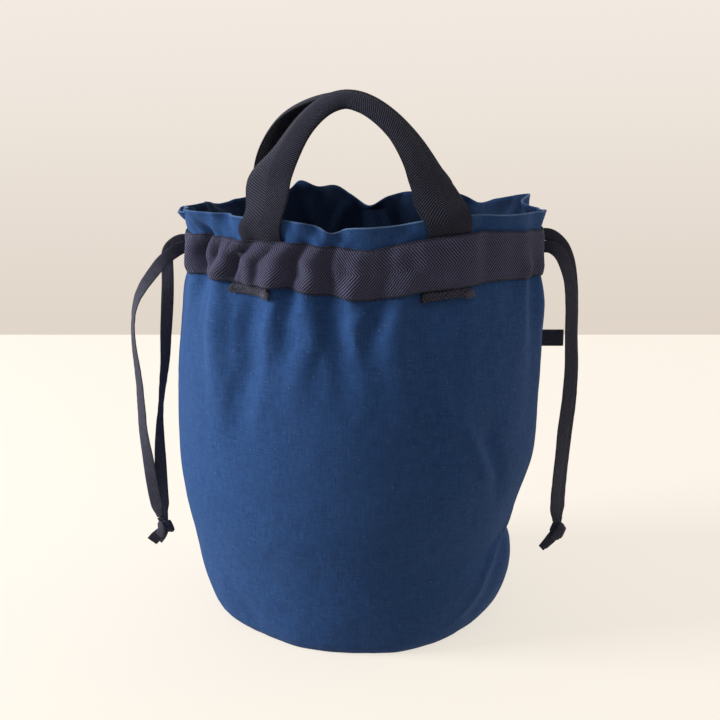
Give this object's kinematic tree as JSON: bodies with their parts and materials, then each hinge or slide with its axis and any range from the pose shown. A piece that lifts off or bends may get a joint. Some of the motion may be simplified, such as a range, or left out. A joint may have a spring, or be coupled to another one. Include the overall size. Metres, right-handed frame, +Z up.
{
  "type": "drawstring bag",
  "caption": "Soft round-based drawstring bag in indigo cotton canvas with a ruffled mouth, herringbone tape casing, tape carrying handles and flat cords knotted at both sides.",
  "frame": {"origin": "centre of the round base, on the surface that the bag stands on", "axes": "+Z up along the bag's axis, -Y towards the front, +X to the right seen from the front"},
  "size_m": [0.2888, 0.2145, 0.3355],
  "materials": {
    "canvas": "indigo plain-woven cotton canvas, matt, slightly heathered",
    "tape": "dark navy cotton herringbone tape, matt",
    "cord": "dark navy flat woven cotton cord, matt"
  },
  "bodies": {
    "root": {"body_panel": "canvas", "base_panel": "canvas", "channel_tape_front": "tape", "channel_tape_back": "tape", "handle_front": "tape", "handle_back": "tape", "side_tab": "tape", "drawstring_run_left": "cord", "drawstring_run_right": "cord", "drawstring_left_a": "cord", "drawstring_left_b": "cord", "drawstring_right_a": "cord", "drawstring_right_b": "cord", "knot_left": "cord", "knot_right": "cord"}
  },
  "joints": []
}
